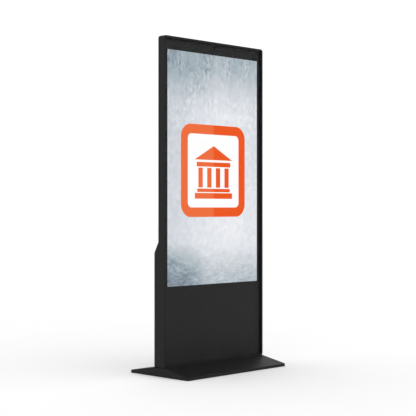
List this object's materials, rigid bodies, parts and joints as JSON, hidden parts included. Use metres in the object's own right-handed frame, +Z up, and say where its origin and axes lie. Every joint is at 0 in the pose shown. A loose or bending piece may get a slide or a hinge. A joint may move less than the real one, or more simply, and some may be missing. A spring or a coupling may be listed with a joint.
{
  "type": "touchscreen kiosk",
  "caption": "Free-standing portrait touchscreen kiosk: a slim glass-fronted display slab with a camera, a rear service housing with a hinged locking door, on a low gable-shaped base.",
  "frame": {"origin": "centre of the base's footprint on the floor", "axes": "+X to the right of someone facing the screen, +Y towards the back, +Z up; the screen faces -Y"},
  "size_m": [0.752, 0.426, 1.7365],
  "materials": {
    "powder_coat": "fine-textured satin black powder coat",
    "front_glass": "clear tempered glass with an anti-glare face",
    "black_print": "black ceramic print fired on the back of the glass",
    "sensor_glass": "clear sensor glass",
    "screen": "lit liquid-crystal cell showing a plain graphic",
    "opal_sheet": "opal diffuser",
    "led_strip": "white circuit strip with light-emitting diodes",
    "zinc_steel": "zinc-plated sheet steel",
    "black_screws": "blackened steel",
    "panel_steel": "black painted sheet steel",
    "rubber": "matt black rubber and foam",
    "black_plastic": "moulded black plastic",
    "plated_metal": "nickel-plated zinc",
    "circuit_board": "green circuit board with black components",
    "aluminium_case": "anodised aluminium",
    "speaker_paper": "pressed basket with a coated paper cone",
    "button_plastic": "moulded grey plastic"
  },
  "bodies": {
    "kiosk": {"backlight_tray": "zinc_steel", "base_cover": "powder_coat", "base_plate": "zinc_steel", "camera_board": "circuit_board", "camera_bracket": "zinc_steel", "camera_lens": "black_plastic", "cover_screws": "zinc_steel", "cross_members": "zinc_steel", "diffuser_plate": "opal_sheet", "display_board": "circuit_board", "door_seat": "powder_coat", "equipment_plate": "zinc_steel", "fan_frames": "black_plastic", "foot_bolts": "zinc_steel", "foot_pads": "rubber", "front_glass": "front_glass", "glass_print": "black_print", "glass_tape": "rubber", "hinge_fixed_leaves": "powder_coat", "hinge_pins": "zinc_steel", "housing_screws": "black_screws", "housing_seal": "rubber", "lcd_cell": "screen", "led_bars": "led_strip", "left_foot_bracket": "zinc_steel", "left_speaker": "speaker_paper", "left_upright": "zinc_steel", "line_filter": "aluminium_case", "media_player": "aluminium_case", "network_socket": "black_plastic", "outer_frame": "powder_coat", "panel_bezel": "panel_steel", "panel_screws": "zinc_steel", "port_plate": "zinc_steel", "power_inlet": "black_plastic", "power_supply": "zinc_steel", "power_switch": "black_plastic", "rear_cover": "powder_coat", "rear_cover_screws": "black_screws", "rear_housing": "powder_coat", "right_foot_bracket": "zinc_steel", "right_speaker": "speaker_paper", "right_upright": "zinc_steel", "standoffs": "zinc_steel", "terminal_block": "black_plastic", "touch_controller": "circuit_board", "touch_sensor": "sensor_glass", "upright_bolts": "zinc_steel"},
    "door": {"service_door": "powder_coat", "door_gasket": "rubber", "hinge_moving_leaves": "powder_coat", "lock_barrel": "plated_metal", "lock_nut": "plated_metal"},
    "lock": {"lock_plug": "plated_metal", "lock_cam": "plated_metal"},
    "rocker": {"switch_rocker": "black_plastic"},
    "left_fan": {"left_fan_rotor": "black_plastic"},
    "right_fan": {"right_fan_rotor": "black_plastic"},
    "start_button": {"player_button": "button_plastic"}
  },
  "joints": [
    {"name": "door_swing", "type": "hinge", "parent": "kiosk", "child": "door", "pos_m": [-0.32075, 0.0317, 0.33], "axis": [0, 0, 1], "range_deg": [0, 110]},
    {"name": "lock_turn", "type": "hinge", "parent": "door", "child": "lock", "pos_m": [0.292, 0.0275, 0.33], "axis": [0, 1, 0], "range_deg": [0, 90]},
    {"name": "rocker_tilt", "type": "hinge", "parent": "kiosk", "child": "rocker", "pos_m": [0.004, 0.0255, 0.0953], "axis": [-1, 0, 0], "range_deg": [0, 20]},
    {"name": "left_fan_spin", "type": "hinge", "parent": "kiosk", "child": "left_fan", "pos_m": [-0.07, 0.018, 0.5879], "axis": [0, 1, 0], "continuous": true},
    {"name": "right_fan_spin", "type": "hinge", "parent": "kiosk", "child": "right_fan", "pos_m": [0.07, 0.018, 0.5879], "axis": [0, 1, 0], "continuous": true},
    {"name": "start_press", "type": "slide", "parent": "kiosk", "child": "start_button", "axis": [0, -1, 0], "range_m": [0, 0.0012], "stiffness_N_per_m": 400}
  ]
}
